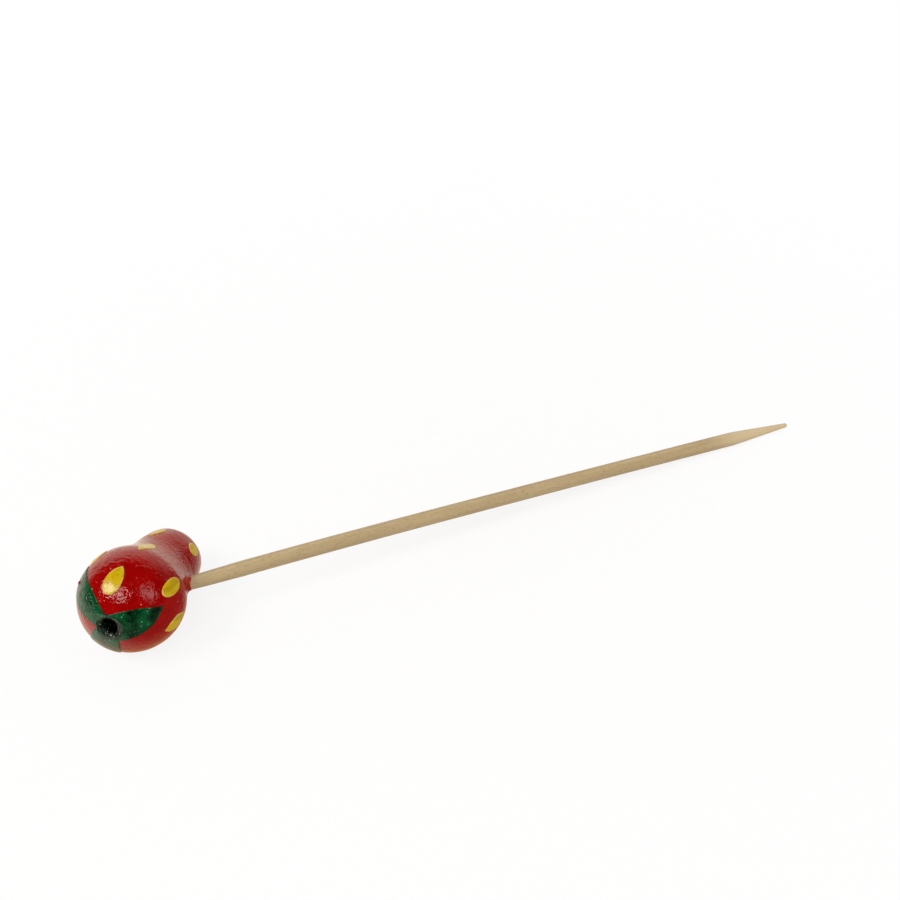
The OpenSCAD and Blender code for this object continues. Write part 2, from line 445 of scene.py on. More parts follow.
def green_paint():
    material, tree, shader, place, surface = coat(
        "green paint", 1.52, Peel_Scale=2.8, Peel_Depth=2.0, Ripple_Depth=2.6,
        Speck_Scale=3.3, Speck_Size=0.32, Speck_Share=0.8)
    green = colour_ramp(tree, surface["Tone"], [(0.38, GREEN_DARK), (0.60, GREEN_MID)])
    # the green turns grey-green towards the hole: partly paint, partly painted shade
    rim_grade = spread(tree, hole_distance(tree, place, 0.5), 2.1, 1.6)
    green = mix_colours(tree, rim_grade, green, HOLE_RIM_GREY)
    # pale specks over the green, partly dust and partly painted glints
    green = mix_colours(tree, times(tree, surface["Specks"], 0.65), green, GREEN_DUST_AND_GLINT)
    finish_coat(tree, shader, surface, green, (0.3, 0.7, 0.05, 0.10), 0.035)
    return material


def rim_share(tree):
    """How far a place counts as a thin edge, from the attribute that marks it."""
    return add_node(tree, "ShaderNodeAttribute", {"attribute_name": "rim"}).outputs["Fac"]


def yellow_paint():
    material, tree, shader, place, surface = coat(
        "yellow paint", Peel_Scale=2.6, Peel_Depth=1.0, Ripple_Depth=0.8,
        Speck_Scale=2.5, Speck_Size=0.12, Speck_Share=0.15)
    drawn = moved(tree, place, Scale=(1.5, 1.5, 0.45))
    strokes = texture(tree, "Noise", drawn, Scale=1.0, Detail=3.0, Distortion=0.5)
    yellow = colour_ramp(tree, strokes.outputs["Fac"], [(0.36, OCHRE), (0.52, YELLOW)])
    patchy = spread(tree, surface["Tone"], 0.35, 0.6)
    # a painted cream highlight along the seeds' rim, patchy by tone
    yellow = mix_colours(tree, times(tree, rim_share(tree), patchy, 0.7), yellow, RIM_HIGHLIGHT)
    finish_coat(tree, shader, surface, yellow, (0.3, 0.7, 0.10, 0.18), 0.04)
    return material


GREEN = green_paint()
YELLOW_PAINT = yellow_paint()
print("made", GREEN.name, "and", YELLOW_PAINT.name)

# %% [markdown]
# ## Bare wood
#
# The stick is pale birch, turned and not varnished. Its growth rings are flat
# layers that run nearly along it, so they show as long faint streaks on the
# shank and as narrow V shapes where the point cuts across them. A solid pattern
# in the stick's own frame gives both by itself. Fine pores and fibres, drawn out
# along the grain, lie over it, and the freshly cut point is paler.

# %% Bare wood
WOOD_PALE = (0.60, 0.475, 0.285)
WOOD_MID = (0.50, 0.375, 0.205)
WOOD_DARK = (0.33, 0.22, 0.10)
WOOD_CUT = (0.74, 0.59, 0.37)
CUT_START, CUT_WHOLE, CUT_SHARE = 94.0, 103.0, 0.7
RING_TURN = (math.radians(1.6), math.radians(-0.9), 0.6)
RING_STRETCH = (1.0, 0.35, 0.16)


def stretched_noise(tree, place, across, along, **values):
    """Noise whose grain is drawn out along the stick."""
    squeezed = moved(tree, place, Scale=(across, across, along))
    return texture(tree, "Noise", squeezed, Scale=1.0, **values).outputs["Fac"]


def bare_wood():
    material, tree, shader = new_material("bare wood")
    place = millimetres(tree, stick_frame)

    rings = moved(tree, place, Rotation=RING_TURN, Scale=RING_STRETCH)
    bands = texture(tree, "Wave", rings, {"bands_direction": "X", "wave_profile": "SAW"},
                    Scale=0.42, Distortion=1.6, Detail=2.0, Detail_Scale=0.8)
    fibres = stretched_noise(tree, place, 5.0, 0.5, Detail=4.0, Roughness=0.7)
    pores = stretched_noise(tree, place, 5.5, 1.5, Detail=3.0, Roughness=0.6)
    cloud = stretched_noise(tree, place, 0.7, 0.06, Detail=2.0)

    wood = colour_ramp(tree, bands.outputs["Fac"],
                       [(0.0, WOOD_PALE), (0.75, WOOD_MID), (1.0, WOOD_MID)])
    streak = spread(tree, fibres, 0.38, 0.62, 0.0, 0.75)
    pore = spread(tree, pores, 0.53, 0.70, 0.0, 0.6)
    shade = spread(tree, cloud, 0.3, 0.7, 0.0, 0.25)
    cut = spread(tree, axes_of(tree, place)["Z"], CUT_START, CUT_WHOLE, 0.0, CUT_SHARE)
    for share, colour in ((streak, WOOD_MID), (pore, WOOD_DARK), (shade, WOOD_DARK),
                          (cut, WOOD_CUT)):
        wood = mix_colours(tree, share, wood, colour)
    join(tree, wood, shader.inputs["Base Color"])

    rough = spread(tree, fibres, 0.3, 0.7, 0.5, 0.68)
    join(tree, rough, shader.inputs["Roughness"])
    shader.inputs["Specular IOR Level"].default_value = 0.35
    height = sums(tree, "SUBTRACT", fibres, times(tree, pore, 0.6))
    raise_surface(tree, shader, height, 0.05)
    return material


WOOD = bare_wood()
print("made", WOOD.name)

# %% [markdown]
# ## Dried glue
#
# A thin collar of lacquer and glue has dried round the stick where it enters
# the bead. It is as red as the lacquer, browner where it is thick, and a pale
# highlight is painted along its thin edge on the wood. An attribute called rim
# marks that edge.

# %% Dried glue
# the pale edge colour is a painted highlight along the collar's thin edge
GLUE_RED, GLUE_BROWN, GLUE_EDGE_HIGHLIGHT = (0.30, 0.004, 0.002), (0.42, 0.05, 0.012), (0.62, 0.48, 0.30)


def dried_glue():
    material, tree, shader, _, surface = coat(
        "dried glue", Peel_Scale=3.0, Peel_Depth=0.8, Ripple_Depth=1.0,
        Speck_Scale=3.0, Speck_Size=0.12, Speck_Share=0.2)
    glue = colour_ramp(tree, surface["Tone"], [(0.35, GLUE_RED), (0.65, GLUE_BROWN)])
    # a painted pale highlight along the collar's thin edge on the wood
    glue = mix_colours(tree, times(tree, rim_share(tree), 0.7), glue, GLUE_EDGE_HIGHLIGHT)
    finish_coat(tree, shader, surface, glue, (0.3, 0.7, 0.12, 0.22), 0.04)
    return material


GLUE = dried_glue()
print("made", GLUE.name)

# %% [markdown]
# ## The bead's section, drawn with a compass
#
# A lathe turns a section round an axis, and `bmesh.ops.spin` is that lathe. The
# section itself is all arcs, and a spin can draw those too: spinning one point
# about a centre leaves an arc of edges behind it. The sizes are the CAD model's
# own: a ball, a concave waist, a barrel with a slightly crowned side, a rounded
# narrow end, and a threading hole with rounded mouths.

# %% Bead sizes
BALL_R, BARREL_R, BARREL_DROP, BEAD_DROP = 7.5, 5.3, 8.0, 13.7
SIDE_R, EDGE_R, WAIST_R = 15.0, 2.2, 12.0
HOLE_R, MOUTH_R = 1.1, 0.5

side_x = BARREL_R - SIDE_R
edge_z = EDGE_R - BEAD_DROP
edge_fall = -BARREL_DROP - edge_z
edge_x = side_x + math.sqrt((SIDE_R - EDGE_R) ** 2 - edge_fall ** 2)
edge_angle = math.asin(edge_fall / (SIDE_R - EDGE_R))
to_ball, to_side = BALL_R + WAIST_R, SIDE_R + WAIST_R
apart = math.hypot(side_x, BARREL_DROP)
waist_angle = math.atan2(-BARREL_DROP, side_x) + math.acos(
    (to_ball ** 2 + apart ** 2 - to_side ** 2) / (2 * to_ball * apart))
waist_x, waist_z = to_ball * math.cos(waist_angle), to_ball * math.sin(waist_angle)
side_angle = math.atan2(waist_z + BARREL_DROP, waist_x - side_x)
mouth_x = HOLE_R + MOUTH_R
mouth_z = math.sqrt((BALL_R - MOUTH_R) ** 2 - mouth_x ** 2)
mouth_angle = math.atan2(mouth_z, mouth_x)
print("waist meets the ball at", round(math.degrees(waist_angle), 2), "degrees")

# %% [markdown]
# The compass turns in the XZ plane, which is the section's plane. A positive
# turn goes from X towards Z. The pen goes from the hole's mouth at the leaf end
# over the ball, the waist and the barrel, and back up inside the hole. Thick
# lacquer eases the change from round to hollow at the waist, so the points there
# are smoothed a few times.

# %% Compass and pen
MERGE_MM = 1e-4
WAIST_EASING, WAIST_FOOT, WAIST_TOP, OUTSIDE_X = 40, -8.0, -2.5, 3.0


def compass(bm, point, centre, turn, steps):
    """Spins a point about a centre in the section's plane, and gives its end."""
    made = bmesh.ops.spin(bm, geom=[point], cent=(centre[0], 0, centre[1]), axis=(0, -1, 0),
                          angle=turn, steps=steps, use_duplicate=False)
    return next(part for part in made["geom_last"] if isinstance(part, bmesh.types.BMVert))


def pen(bm, point, x, z, steps):
    """Draws a straight line to a place in the section's plane."""
    step = (Vector((x, 0, z)) - point.co) / steps
    for _ in range(steps):
        made = bmesh.ops.extrude_vert_indiv(bm, verts=[point])
        point = made["verts"][0]
        bmesh.ops.translate(bm, verts=[point], vec=step)
    return point


def bead_section():
    bm = bmesh.new()
    start = bmesh.ops.create_vert(bm, co=(HOLE_R, 0, mouth_z))["vert"][0]
    point = compass(bm, start, (mouth_x, mouth_z), mouth_angle - math.pi, 10)
    point = compass(bm, point, (0, 0), waist_angle - mouth_angle, 60)
    point = compass(bm, point, (waist_x, waist_z), side_angle - waist_angle, 24)
    point = compass(bm, point, (side_x, -BARREL_DROP), -edge_angle - side_angle, 16)
    point = compass(bm, point, (edge_x, edge_z), edge_angle - math.pi / 2, 14)
    point = pen(bm, point, mouth_x, -BEAD_DROP, 4)
    point = compass(bm, point, (mouth_x, MOUTH_R - BEAD_DROP), -math.pi / 2, 8)
    pen(bm, point, HOLE_R, mouth_z, 40)
    bmesh.ops.remove_doubles(bm, verts=bm.verts, dist=MERGE_MM)
    waist = [v for v in bm.verts if v.co.x > OUTSIDE_X and WAIST_FOOT < v.co.z < WAIST_TOP]
    for _ in range(WAIST_EASING):
        bmesh.ops.smooth_vert(bm, verts=waist, factor=0.5, use_axis_x=True,
                              use_axis_y=True, use_axis_z=True)
    return bm


bead_bm = bead_section()
print("section:", len(bead_bm.verts), "points, down to",
      round(min(v.co.z for v in bead_bm.verts), 3))

# %% [markdown]
# ## Turning the bead
#
# One full spin makes the closed bead. Real lacquer is never quite even, so each
# point of the outside sinks by a few hundredths of a millimetre, by a slow noise
# and two quicker ones. It only ever sinks, so that the bead stays inside its
# size. The hole's faces get the second material, the hole's black, which is
# partly paint and partly painted shade. The hole was not drilled quite true
# either: at the leaf end it comes out 0.4 mm to one side, so everything near the
# axis there is turned a little about the ball's centre.

# %% Turn the bead
BEAD_SEGMENTS = 192
BLACK_REACH = 1.95
HOLE_TURN = math.atan(math.hypot(*HOLE_MIDDLE) / BALL_R)
HOLE_HINGE = Vector((-HOLE_MIDDLE[1], HOLE_MIDDLE[0], 0)).normalized()
# degrees off the axis within which the hole's turn is whole, and past which there is none
TURNS_WHOLE, TURNS_NOT = 14.0, 40.0
# for each wave in the lacquer, how often it comes, its shift, and its depth in millimetres
LACQUER_WAVES = [(0.33, (0, 0, 0), 0.035), (0.8, (7, 3, 1), 0.022), (1.9, (0, 0, 0), 0.009)]


def turn_outwards(bm):
    """Points all faces outwards and shades them smooth."""
    bmesh.ops.recalc_face_normals(bm, faces=bm.faces)
    for face in bm.faces:
        face.smooth = True


def lathe(bm, segments, merge_mm):
    """Spins a section all the way round Z, and closes it."""
    bmesh.ops.spin(bm, geom=bm.verts[:] + bm.edges[:], cent=(0, 0, 0), axis=(0, 0, 1),
                   angle=math.tau, steps=segments, use_merge=True)
    bmesh.ops.remove_doubles(bm, verts=bm.verts, dist=merge_mm)
    turn_outwards(bm)


def lacquer_sink(place):
    """How far the lacquer lies under the ideal surface here, in millimetres."""
    return sum(depth * (0.5 + 0.5 * noise.noise(place * often + Vector(shift)))
               for often, shift, depth in LACQUER_WAVES)


def hole_wander(place):
    """Turns what is near the axis at the leaf end about the ball's centre."""
    off_axis = math.degrees(math.atan2(math.hypot(place.x, place.y), place.z))
    share = min(max((TURNS_NOT - off_axis) / (TURNS_NOT - TURNS_WHOLE), 0), 1)
    share = share * share * (3 - 2 * share)
    return Matrix.Rotation(HOLE_TURN * share, 3, HOLE_HINGE) @ place


def turn_bead(bm):
    lathe(bm, BEAD_SEGMENTS, MERGE_MM)
    for face in bm.faces:
        middle = face.calc_center_median()
        reach = BLACK_REACH if middle.z > 0 else mouth_x
        face.material_index = int(math.hypot(middle.x, middle.y) < reach)
    bm.normal_update()
    sinks = {v: v.normal * lacquer_sink(v.co) for v in bm.verts
             if math.hypot(v.co.x, v.co.y) > mouth_x}
    for v, shift in sinks.items():
        v.co -= shift
    for v in bm.verts:
        v.co = hole_wander(v.co)


turn_bead(bead_bm)
bead_surface = BVHTree.FromBMesh(bead_bm)
print("bead:", len(bead_bm.faces), "faces, volume",
      round(bead_bm.calc_volume(), 1), "mm3")

# %% [markdown]
# ## Objects in the shared frame
#
# A finished mesh is laid down by its matrix, so that the object itself sits at
# the origin, unturned. Then it rides on the skewer's one body, and the CAD nodes
# it stands for are hidden.

# %% From a bmesh to a piece


def make_object(bm, name, materials, lay_down):
    mesh = bpy.data.meshes.new(name)
    bmesh.ops.transform(bm, matrix=lay_down, verts=bm.verts)
    bm.to_mesh(mesh)
    bm.free()
    for material in materials:
        mesh.materials.append(material)
    piece = bpy.data.objects.new(name, mesh)
    scene.collection.objects.link(piece)
    return piece


def settle(piece, slot, *nodes):
    """Rides the piece on the skewer and hides the CAD nodes it stands for; the slot argument is
    not used.
    """
    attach(piece, "root")
    if nodes:
        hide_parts(*nodes)
    size = piece.dimensions * 1000
    print(piece.name, "faces", len(piece.data.polygons),
          "size mm", [round(v, 2) for v in size])


# %% [markdown]
# ## Drilling the socket
#
# The stick's socket was drilled after turning, so here it is cut after turning
# too, by a Boolean with a plain drill. It is done while the bead is still in
# millimetres, where the Boolean's tolerances suit its size.

# %% Drill the socket
SHANK_R, GLUE_GAP, STICK_TAIL = 1.15, 0.05, 2.5
SOCKET_END, SOCKET_SEGMENTS = 12.0, 64


def drill():
    bm = bmesh.new()
    bmesh.ops.create_cone(bm, cap_ends=True, segments=SOCKET_SEGMENTS,
                          radius1=SHANK_R + GLUE_GAP, radius2=SHANK_R + GLUE_GAP,
                          depth=SOCKET_END + STICK_TAIL)
    middle = (SOCKET_END - STICK_TAIL) / 2
    bmesh.ops.translate(bm, verts=bm.verts, vec=(0, 0, middle))
    return make_object(bm, "drill", [BLACK], seat_in_bead)


def drilled_bead(bm):
    piece = make_object(bm, "bead_painted", [RED, BLACK], Matrix.Identity(4))
    bit = drill()
    cut = piece.modifiers.new("socket", "BOOLEAN")
    cut.operation, cut.solver, cut.object = "DIFFERENCE", "EXACT", bit
    bpy.context.view_layer.update()
    held = piece.evaluated_get(bpy.context.evaluated_depsgraph_get())
    mesh = bpy.data.meshes.new_from_object(held)
    piece.modifiers.clear()
    piece.data = mesh
    bpy.data.objects.remove(bit)
    mesh.transform(bead_frame)
    return piece


settle(drilled_bead(bead_bm), "red_lacquer", "bead")

# %% [markdown]
# ## The stick
#
# The stick is turned about its own axis from a long section: a square glued end,
# a shank of even thickness that is pared thinner where it goes into the bead, a
# short curve and a slim cone, and a blunt round tip. Its section gets a ring
# every millimetre, because a real dowel is never quite round or straight-sided:
# the fibres stand and sink by a hundredth or two of a millimetre, in long
# streaks.

# %% Stick sizes
POINT_LEN, TIP_R, BLEND_R = 12.0, 0.38, 25.0
GLUED_R, GLUED_BEVEL = 1.1, 0.1
point_a, point_b = BLEND_R - SHANK_R, POINT_LEN - TIP_R
point_angle = math.atan2(point_b, point_a) - math.acos(
    (BLEND_R - TIP_R) / math.hypot(point_a, point_b))
shank_end = STICK_REACH - POINT_LEN
tip_at = STICK_REACH - TIP_R
# the section up to the point: the radius and place along that a line leads to, and its steps
SHANK_LINES = [(GLUED_R - GLUED_BEVEL, -STICK_TAIL, 3), (GLUED_R, GLUED_BEVEL - STICK_TAIL, 1),
               (0.96, 7.0, 9), (1.06, 10.0, 3), (SHANK_R, 15.0, 5), (SHANK_R, shank_end, 87)]
print("the point's cone leans by", round(math.degrees(point_angle), 2), "degrees")

# %% [markdown]
# The pen draws the shank, the compass the curve, the pen again the cone, and the
# compass the round tip. The lathe closes it. Each point then sinks a little by
# two noises that are drawn out along the wood, and moves with the stick's bend.

# %% Turn the stick
STICK_SEGMENTS, STICK_MERGE, SHARP_DEGREES = 64, 1e-3, 40
# for each kind of streak, how often it comes across and along, and its depth in millimetres
WOOD_STREAKS = [(1.1, 0.05, 0.022), (4.0, 0.35, 0.008)]


def fibre_sink(place):
    """How far the wood lies under the ideal surface here, in millimetres."""
    return sum(depth * (0.5 + 0.5 * noise.noise(place * Vector((across, across, along))))
               for across, along, depth in WOOD_STREAKS)


def turn_stick():
    bm = bmesh.new()
    point = bmesh.ops.create_vert(bm, co=(0, 0, -STICK_TAIL))["vert"][0]
    for radius, along, steps in SHANK_LINES:
        point = pen(bm, point, radius, along, steps)
    point = compass(bm, point, (-point_a, shank_end), point_angle, 6)
    cone_x = TIP_R * math.cos(point_angle)
    cone_z = tip_at + TIP_R * math.sin(point_angle)
    point = pen(bm, point, cone_x, cone_z, 24)
    compass(bm, point, (0, tip_at), math.pi / 2 - point_angle, 8)
    lathe(bm, STICK_SEGMENTS, STICK_MERGE)
    bm.normal_update()
    shifts = {v: bend(v.co.z) - v.normal * fibre_sink(v.co) for v in bm.verts}
    for v, shift in shifts.items():
        v.co += shift
    return bm


stick = make_object(turn_stick(), "stick_turned", [WOOD], stick_frame)
stick.data.set_sharp_from_angle(angle=math.radians(SHARP_DEGREES))
settle(stick, "bare_wood", "stick")

# %% [markdown]
# ## Paint that sits on the bead
#
# Leaves and seeds are thick blobs of paint, so they are closed shells that
# stand a little proud of the lacquer, with a rounded rim. Their outlines are
# drawn flat and then dropped on the bead: a ray from each point finds the
# lacquer below it, so the paint follows every dip.

# %% Drop points on the bead


def lacquer_below(start, direction):
    """Where a ray first meets the bead's lacquer."""
    place, _, _, _ = bead_surface.ray_cast(start, direction)
    return place


def drawn_on(bm, edges):
    """Extrudes edges once more, and gives the new points and edges."""
    made = bmesh.ops.extrude_edge_only(bm, edges=edges)
    points = [part for part in made["geom"] if isinstance(part, bmesh.types.BMVert)]
    edges = [part for part in made["geom"] if isinstance(part, bmesh.types.BMEdge)]
    return points, edges


side_of_ball = lacquer_below(Vector((0, 2 * BALL_R, 0)), Vector((0, -1, 0)))
print("the lacquer at the ball's side lies", round(BALL_R - side_of_ball.y, 3), "mm deep")

# %% [markdown]
# ### Leaves
#
# Seen along the bead's axis, each leaf has a tip and lies between two notches,
# with edges that bulge outwards. A brush seldom leaves an even curve, so a bulge
# can lean towards either of its ends. All three leaves meet round the hole, so
# they are one sheet of paint: a ring of points round the hole's mouth that is
# drawn outwards, ring by ring, until it reaches the outline.

# %% Leaf outline
LEAF_TIPS = [(9.4, 0.905), (130, 0.981), (245, 0.94)]
LEAF_NOTCHES = [(83.5, 0.226), (188.9, 0.19), (297, 0.358)]
# for each leaf, the bulge in millimetres and the lean of its two edges
LEAF_EDGES = [((1.13, -0.5), (0.73, 0.7)), ((0.82, 0), (2.1, 1.9)), ((1.6, -0.6), (1.325, 0.5))]
EDGE_STEPS = 36


def spot(angle, share):
    """A point seen along the bead's axis, from an angle and a share of the radius."""
    turn = math.radians(angle)
    return Vector((math.cos(turn), math.sin(turn))) * BALL_R * share


def bulged_edge(start, end, bulge, lean):
    """Points along a curve that bulges to the right of the way from start to end."""
    way = end - start
    right = Vector((way.y, -way.x)).normalized()
    points = []
    for step in range(EDGE_STEPS):
        share = 0.5 - 0.5 * math.cos(math.pi * step / EDGE_STEPS)
        skew = lean * (0.5 - share)
        out = 4 * share * (1 - share) * bulge * (1 + skew)
        points.append(start + way * share + right * out)
    return points


def leaf_outline():
    outline = []
    for i in range(len(LEAF_TIPS)):
        before, after = spot(*LEAF_NOTCHES[i - 1]), spot(*LEAF_NOTCHES[i])
        peak = spot(*LEAF_TIPS[i])
        outline += bulged_edge(before, peak, *LEAF_EDGES[i][0])
        outline += bulged_edge(peak, after, *LEAF_EDGES[i][1])
    return outline


outline = leaf_outline()
print("leaf outline:", len(outline), "points")

# %% [markdown]
# The sheet is worked in directions from the ball's centre: a flat vector whose
# length is the angle off the axis. Rings that are even there lie evenly on the
# ball too. Each ring is a share of the way from the mouth to the outline.

# %% Leaf sheet
LEAF_T = 0.12
LEAF_START = 1.60
LEAF_RINGS, LEAF_RIM_START, LEAF_RIM_END = 26, 0.06, 0.96
# how far the inner points follow the outline's own spacing round the hole, and
# how far out a ray starts, as a share of the ball's radius
INNER_FOLLOW, RAY_START = 0.6, 1.3
# share of the way out and height of each ring: up from under the lacquer at the
# hole, across, over the rim and back underneath
RIM_IN = [(0.0, -0.05), (0.004, 0.02), (0.02, 0.04), (0.06, 0.075)]
RIM_OUT = [(0.965, 0.11), (0.98, 0.10), (0.992, 0.07), (1.0, 0.02), (0.998, -0.05)]


def flat_map(point):
    """A direction from the ball's centre, as a flat vector as long as its angle."""
    share = min(point.length / BALL_R, 1.0)
    return point.normalized() * math.asin(share)


def on_ball(angle_vector, height):
    """The lacquer below a direction from the ball's centre, and a height above it."""
    angle = angle_vector.length
    flat = angle_vector.normalized() * math.sin(angle)
    out = Vector((flat.x, flat.y, math.cos(angle)))
    return lacquer_below(out * BALL_R * RAY_START, -out) + out * height


def leaf_sheet():
    bm = bmesh.new()
    mouth = math.asin(LEAF_START / BALL_R)
    middle = flat_map(Vector(HOLE_MIDDLE))
    ring = bmesh.ops.create_circle(bm, segments=len(outline), radius=mouth)["verts"]
    wall = [flat_map(point) for point in outline]
    share_round = [math.atan2((p - middle).y, (p - middle).x) for p in wall]
    turn = share_round[0]
    inner = []
    for i in range(len(wall)):
        even = turn + math.tau * i / len(wall)
        own = share_round[i]
        gap = (own - even + math.pi) % math.tau - math.pi
        angle = even + gap * INNER_FOLLOW
        inner.append(middle + Vector((math.cos(angle), math.sin(angle))) * mouth)
    flat_part = LEAF_RIM_END - LEAF_RIM_START
    steps = RIM_IN + [(LEAF_RIM_START + flat_part * k / LEAF_RINGS, LEAF_T)
                      for k in range(1, LEAF_RINGS)] + RIM_OUT
    edges = bm.edges[:]
    for number, (share, height) in enumerate(steps):
        if number:
            ring, edges = drawn_on(bm, edges)
        for i, v in enumerate(ring):
            v.co = on_ball(inner[i].lerp(wall[i], share), height)
    return bm


# %% [markdown]
# ### Closing the sheet underneath
#
# The last ring has gone under the lacquer. Bridging it to the first one closes
# the shell, so that the leaves are a solid skin like the CAD node.

# %% Close the leaves


def finish_shell(bm):
    """Bridges the two open ends of a shell and turns its faces outwards."""
    open_edges = [edge for edge in bm.edges if edge.is_boundary]
    bmesh.ops.bridge_loops(bm, edges=open_edges)
    turn_outwards(bm)
    return bm


leaves = make_object(finish_shell(leaf_sheet()), "leaves_painted", [GREEN], bead_frame)
settle(leaves, "green_paint", "leaves")

# %% [markdown]
# ### Seeds
#
# Each seed is one touch of a brush: a drop with a point, thick at its rim and a
# little sunk in the middle, as paint dries. A circle of points is pushed on to
# the drop's outline, and is then drawn inwards ring by ring, up over the rim,
# to its middle. An attribute called rim marks the edge, where the yellow
# material paints a pale highlight.

# %% Seed shapes
SEED_POINTS, ABOVE_BEAD = 56, 1.5
# share of the way out, height and how much of the rim's painted highlight
SEED_RINGS = [(0.985, -0.06, 1), (1.0, 0.015, 1), (0.985, 0.055, 1), (0.955, 0.085, 0.8),
              (0.91, 0.10, 0.4), (0.84, 0.105, 0), (0.7, 0.09, 0), (0.55, 0.085, 0),
              (0.4, 0.085, 0), (0.2, 0.09, 0)]
# how an end closes: the power of the distance along, and the power of what is left
SEED_ENDS = {"point": (2.6, 1.0), "round": (2.0, 0.5), "narrow": (2.2, 0.6), "sharp": (1.6, 1.3)}


def drop_outline(length, width, front, back, widest):
    """Points round a drop. Its front is towards +X, its widest place a share from the back."""
    points = []
    for step in range(SEED_POINTS):
        turn = math.tau * step / SEED_POINTS
        ahead = math.cos(turn) > 0
        side = length * (1 - widest if ahead else widest)
        power, root = SEED_ENDS[front if ahead else back]
        along = abs(math.cos(turn))
        across = width / 2 * max(1 - along ** power, 0) ** root
        middle = length * (widest - 0.5)
        points.append(Vector((middle + side * math.cos(turn),
                              across if math.sin(turn) >= 0 else -across)))
    return points


def seed_blob(bm, lay, points):
    """One seed: its outline drawn on the bead, then ring by ring to the middle."""
    rim_mark = bm.verts.layers.float.get("rim") or bm.verts.layers.float.new("rim")
    out = (lay.to_3x3() @ Vector((0, 0, 1))).normalized()
    centre = sum(points, Vector((0, 0))) / len(points)
    ring = bmesh.ops.create_circle(bm, segments=SEED_POINTS, radius=1)["verts"]
    edges = list({edge for v in ring for edge in v.link_edges})
    for number, (share, height, rim) in enumerate(SEED_RINGS):
        if number:
            ring, edges = drawn_on(bm, edges)
        for point, v in zip(points, ring):
            flat = centre + (point - centre) * share
            above = lay @ Vector((flat.x, flat.y, ABOVE_BEAD))
            v.co = lacquer_below(above, -out) + out * height
            v[rim_mark] = rim
    bmesh.ops.holes_fill(bm, edges=edges, sides=0)


def ball_lay(around, down):
    """A flat place on the ball, by angles round the bead and down from the leaf end."""
    return turned(around, "Z") @ turned(down, "Y") @ Matrix.Translation((0, 0, BALL_R))


# %% [markdown]
# The seeds lie in rows round the ball and the barrel. Each has an angle round
# the bead, an angle down from the leaf end, and a turn on the spot. Then come
# its size against a usual seed's, how its front and back ends close, and how far
# from the back it is widest.

# %% Seeds on the ball
SEED_LEN, SEED_WIDE = 4.1, 2.0
TEARDROP, ALMOND = ("point", "round", 0.34), ("point", "point", 0.5)
ball_seeds = [
    ((80.3, 51.6, -10), 1.06, 1.25, "point", "round", 0.36),
    ((20.8, 84.9, 179), 0.99, 1.07, "round", "round", 0.5),
    ((-20.5, 80.7, 196), 1.05, 1.15, "point", "sharp", 0.45),
    ((122, 90, 170), 0.8, 0.95, *TEARDROP),
    ((168, 93, 186), 1.0, 1.1, *TEARDROP),
    ((206, 76, 176), 1.0, 1.0, *TEARDROP),
    ((240, 88, 172), 1.0, 1.0, "narrow", "round", 0.4),
    ((284, 94, 186), 1.0, 1.0, *TEARDROP),
    ((75.1, 116.2, 179), 1.07, 0.9, *TEARDROP),
    ((136, 117, 183), 1.0, 0.9, *ALMOND),
    ((186, 114, 176), 1.0, 0.9, *ALMOND),
    ((313, 115, 190), 1.0, 0.9, *ALMOND),
]
seed_bm = bmesh.new()
for (around, down, spin), long, wide, front, back, widest in ball_seeds:
    points = drop_outline(SEED_LEN * long, SEED_WIDE * wide, front, back, widest)
    seed_blob(seed_bm, ball_lay(around, down) @ turned(spin, "Z"), points)
print("seeds on the ball:", len(ball_seeds))

# %% [markdown]
# The barrel's seeds are smaller and rounder. Their places go by a share of the
# way down the bead, and each lies flat on the barrel's crowned side there.

# %% Seeds on the barrel
SMALL_LEN, SMALL_WIDE, SMALL_WIDEST = 2.5, 1.4, 0.42
barrel_seeds = [
    (25, 0.79, 15, 0.88, 1.5, "round"),
    (94.5, 0.742, -30, 1.1, 0.9, "point"),
    (160, 0.775, -6, 1.0, 1.0, "point"),
    (215, 0.71, 8, 1.0, 1.0, "narrow"),
    (318, 0.745, 0, 1.0, 1.0, "point"),
]
for around, share, spin, long, wide, front in barrel_seeds:
    deep = share * BEAD_DROP
    slope = math.asin((deep - BARREL_DROP) / SIDE_R)
    stand = Matrix.Translation((side_x + SIDE_R * math.cos(slope), 0, -deep))
    lay = turned(around, "Z") @ stand @ turned(90 + math.degrees(slope), "Y")
    points = drop_outline(SMALL_LEN * long, SMALL_WIDE * wide, front, "round", SMALL_WIDEST)
    seed_blob(seed_bm, lay @ turned(180 + spin, "Z"), points)
turn_outwards(seed_bm)
seeds = make_object(seed_bm, "seeds_painted", [YELLOW_PAINT], bead_frame)
settle(seeds, "yellow_paint", "seeds")

# %% [markdown]
# ### A stray drop
#
# One small drop of red lacquer has dried on a leaf, at the side of the ball. It
# is made as a seed is, and its middle is then raised to a dome.

# %% Stray drop of lacquer
DROP_LEN, DROP_WIDE, DROP_RISE, DROP_DOME_R = 1.0, 0.65, 0.16, 0.4
drop_bm = bmesh.new()
drop_lay = ball_lay(143, 64)
seed_blob(drop_bm, drop_lay, drop_outline(DROP_LEN, DROP_WIDE, "round", "round", 0.5))
top = drop_lay.to_3x3() @ Vector((0, 0, 1))
for v in drop_bm.verts:
    from_middle = ((v.co - drop_lay.translation).cross(top)).length
    v.co += top * DROP_RISE * max(1 - (from_middle / DROP_DOME_R) ** 2, 0)
turn_outwards(drop_bm)
settle(make_object(drop_bm, "lacquer_drop", [RED], bead_frame), "red_lacquer")

# %% [markdown]
# ## The glue collar
#
# Where the leaning stick enters the round bead, their meeting line is a bent
# oval. Rays along the stick find it, and a small ring of glue and lacquer is
# drawn round it: up the stick a little, where its thin edge carries a painted
# highlight, hollow in its corner, and out over the red.

